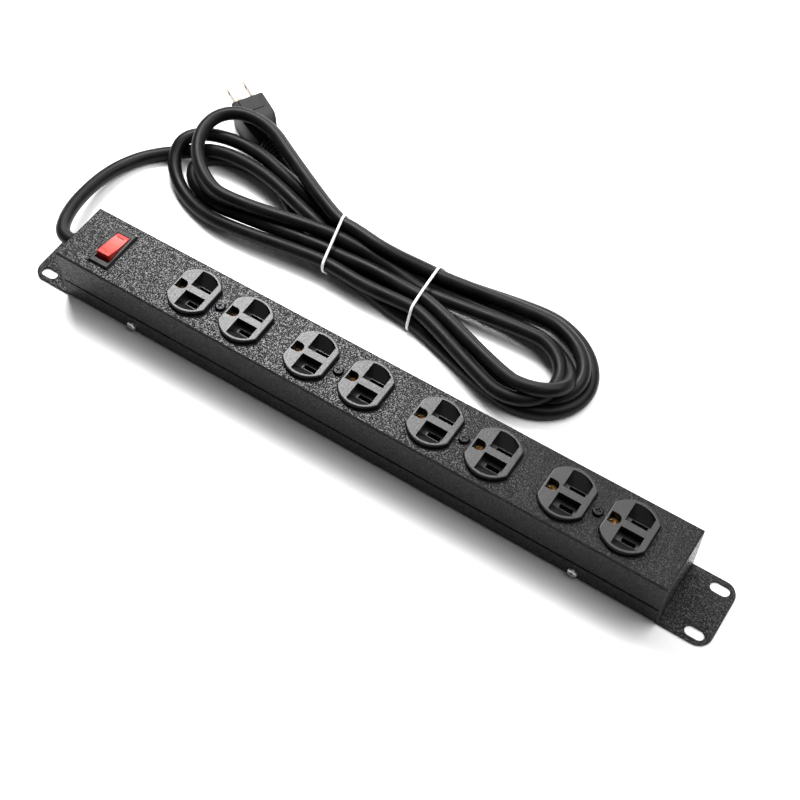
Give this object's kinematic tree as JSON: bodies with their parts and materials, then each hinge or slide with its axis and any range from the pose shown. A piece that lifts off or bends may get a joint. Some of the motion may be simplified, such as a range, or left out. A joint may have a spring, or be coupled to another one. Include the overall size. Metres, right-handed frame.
{
  "type": "rack power strip",
  "caption": "Rack-mount power strip: long black steel channel with eared ends, grounded outlets, a lit rocker switch and a corded plug tied in a hank.",
  "frame": {"origin": "centre of the base pan's underside, midway between the rack ears", "axes": "+X along the strip away from the switch and cord end, +Y towards the side the cord lies on, +Z out of the outlet faces"},
  "size_m": [0.4984, 0.2055, 0.0466],
  "materials": {
    "black_gloss": "semi-gloss",
    "black_moulding": "satin",
    "black_screw": "black oxide",
    "black_wire": "satin",
    "brass": "bright",
    "bright_screw": "bright zinc",
    "cord_jacket": "satin",
    "green_wire": "satin",
    "grey_moulding": "satin",
    "lamp_glass": "clear",
    "painted_steel": "hammertone satin",
    "plated_brass": "nickel plated",
    "red_translucent": "translucent gloss",
    "white_moulding": "satin",
    "white_tie": "paper and wire",
    "white_wire": "satin",
    "zinc_steel": "zinc plated"
  },
  "bodies": {
    "body": {"base_pan": "painted_steel", "cord_entry": "cord_jacket", "cord_hank": "cord_jacket", "cord_lead": "cord_jacket", "cord_tail": "cord_jacket", "cord_ties": "white_tie", "cover_screws": "bright_screw", "ground_lug": "zinc_steel", "ground_nut": "zinc_steel", "ground_wire": "green_wire", "line_in_wire": "black_wire", "line_wire": "black_wire", "neutral_wire": "white_wire", "plug_blades": "plated_brass", "plug_body": "black_moulding", "plug_ground_pin": "plated_brass", "receptacle_1_back": "black_moulding", "receptacle_1_centre_screw": "black_screw", "receptacle_1_front": "grey_moulding", "receptacle_1_ground_contacts": "brass", "receptacle_1_ground_strap": "zinc_steel", "receptacle_1_line_contacts": "brass", "receptacle_1_neutral_contacts": "plated_brass", "receptacle_1_terminal_screws": "brass", "receptacle_2_back": "black_moulding", "receptacle_2_centre_screw": "black_screw", "receptacle_2_front": "grey_moulding", "receptacle_2_ground_contacts": "brass", "receptacle_2_ground_strap": "zinc_steel", "receptacle_2_line_contacts": "brass", "receptacle_2_neutral_contacts": "plated_brass", "receptacle_2_terminal_screws": "brass", "receptacle_3_back": "black_moulding", "receptacle_3_centre_screw": "black_screw", "receptacle_3_front": "grey_moulding", "receptacle_3_ground_contacts": "brass", "receptacle_3_ground_strap": "zinc_steel", "receptacle_3_line_contacts": "brass", "receptacle_3_neutral_contacts": "plated_brass", "receptacle_3_terminal_screws": "brass", "receptacle_4_back": "black_moulding", "receptacle_4_centre_screw": "black_screw", "receptacle_4_front": "grey_moulding", "receptacle_4_ground_contacts": "brass", "receptacle_4_ground_strap": "zinc_steel", "receptacle_4_line_contacts": "brass", "receptacle_4_neutral_contacts": "plated_brass", "receptacle_4_terminal_screws": "brass", "strain_relief": "black_moulding", "switch_housing": "black_gloss", "switch_lamp": "lamp_glass", "switch_terminals": "plated_brass", "top_cover": "painted_steel"},
    "switch_rocker": {"switch_rocker": "red_translucent", "switch_plunger": "white_moulding", "switch_spring": "zinc_steel"},
    "switch_contact_arm": {"switch_contact_arm": "plated_brass"}
  },
  "joints": [
    {"name": "rocker_tilt", "type": "hinge", "parent": "body", "child": "switch_rocker", "pos_m": [-0.1843, 0, 0.0385], "axis": [1, 0, 0], "range_deg": [0, 20]},
    {"name": "contact_arm_tilt", "type": "hinge", "parent": "body", "child": "switch_contact_arm", "pos_m": [-0.1843, 0, 0.0226], "axis": [1, 0, 0], "range_deg": [-16, 0]}
  ],
  "couplings": [
    {"joint": "contact_arm_tilt", "follows": "rocker_tilt", "ratio": -0.8}
  ]
}
